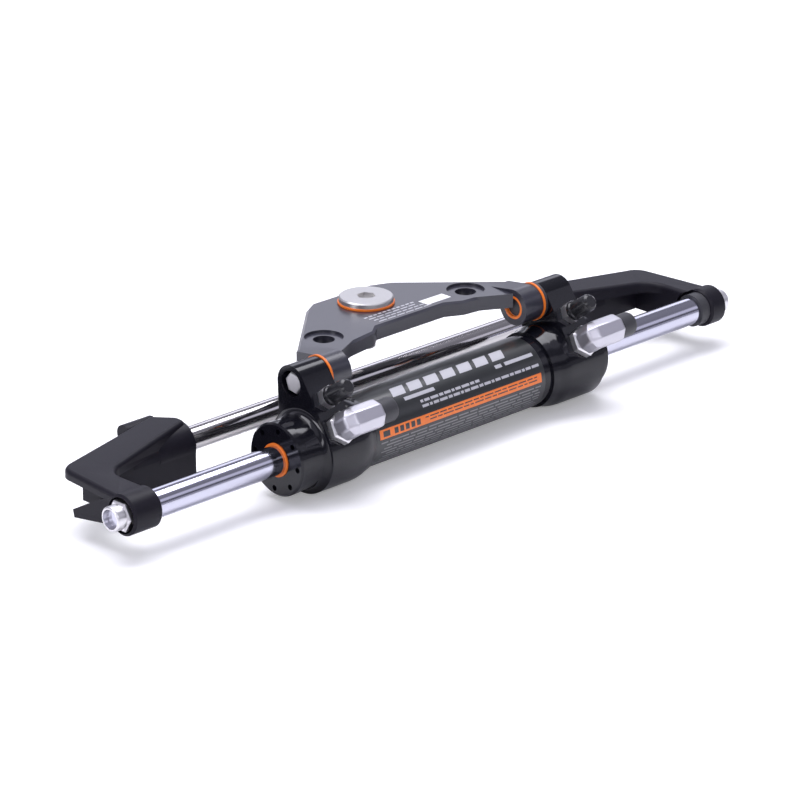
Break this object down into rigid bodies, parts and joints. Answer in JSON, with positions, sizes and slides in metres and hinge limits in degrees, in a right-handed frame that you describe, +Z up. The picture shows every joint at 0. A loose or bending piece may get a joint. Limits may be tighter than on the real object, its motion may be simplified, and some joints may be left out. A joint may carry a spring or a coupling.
{
  "type": "hydraulic steering cylinder",
  "caption": "Black hydraulic cylinder that slides along a fixed chrome shaft between two curved brackets, with a bridge-shaped link plate above it that takes an outboard engine's tiller.",
  "frame": {"origin": "middle of the support rod, on its axis", "axes": "+X along the piston shaft towards the side whose boss has the spacer, +Y back towards the engine, +Z up"},
  "size_m": [0.562, 0.1325, 0.0855],
  "materials": {
    "bracket_black": "satin black powder coat on cast aluminium",
    "anodised_black": "gloss black anodised aluminium",
    "link_black": "satin black anodised aluminium",
    "hard_chrome": "polished hard chrome",
    "stainless": "polished stainless steel",
    "fastener_steel": "bright stainless fasteners",
    "elbow_silver": "satin nickel plate",
    "bush_orange": "orange moulded polymer",
    "rubber_black": "black rubber",
    "cap_black": "black moulded plastic",
    "seal_rubber": "nitrile rubber",
    "piston_metal": "turned aluminium",
    "label_print": "printed film"
  },
  "bodies": {
    "frame": {"bracket_left": "bracket_black", "bracket_right": "bracket_black", "piston_shaft": "hard_chrome", "shaft_spacer": "cap_black", "shaft_nut_left": "fastener_steel", "shaft_nut_right": "fastener_steel", "support_rod": "stainless", "rod_nut_left": "fastener_steel", "rod_nut_right": "fastener_steel", "piston": "piston_metal", "piston_seal_left": "seal_rubber", "piston_seal_right": "seal_rubber"},
    "carriage": {"rod_wiper_left": "bush_orange", "rod_wiper_right": "bush_orange", "rod_seal_left": "seal_rubber", "rod_seal_right": "seal_rubber"},
    "cylinder": {"cylinder_body": "anodised_black", "gland_left": "anodised_black", "gland_right": "anodised_black", "gland_ring_left": "seal_rubber", "gland_ring_right": "seal_rubber", "bleeder_left": "fastener_steel", "bleeder_right": "fastener_steel", "bleeder_cap_left": "rubber_black", "bleeder_cap_right": "rubber_black", "elbow_left": "elbow_silver", "elbow_right": "elbow_silver", "elbow_nut_left": "fastener_steel", "elbow_nut_right": "fastener_steel", "port_cap_left": "cap_black", "port_cap_right": "cap_black", "pivot_bolt_left": "fastener_steel", "pivot_bolt_right": "fastener_steel", "barrel_label": "label_print", "pivot_shim_right": "cap_black"},
    "link": {"link_plate": "link_black", "pivot_bush_left": "bush_orange", "pivot_bush_right": "bush_orange", "tiller_bush": "bush_orange"},
    "tiller": {"tiller_pivot_bolt": "stainless"}
  },
  "joints": [
    {"name": "stroke", "type": "slide", "parent": "frame", "child": "carriage", "axis": [1, 0, 0], "range_m": [-0.0995, 0.0995]},
    {"name": "cylinder_roll", "type": "hinge", "parent": "carriage", "child": "cylinder", "pos_m": [0, -0.065, 0], "axis": [1, 0, 0], "range_deg": [-4, 20]},
    {"name": "link_tilt", "type": "hinge", "parent": "cylinder", "child": "link", "pos_m": [0, -0.05525, 0.04235], "axis": [1, 0, 0], "range_deg": [-4, 80]},
    {"name": "tiller_swivel", "type": "hinge", "parent": "link", "child": "tiller", "pos_m": [0.0007, 0.001, 0.052], "axis": [0, 0, 1], "continuous": true}
  ]
}
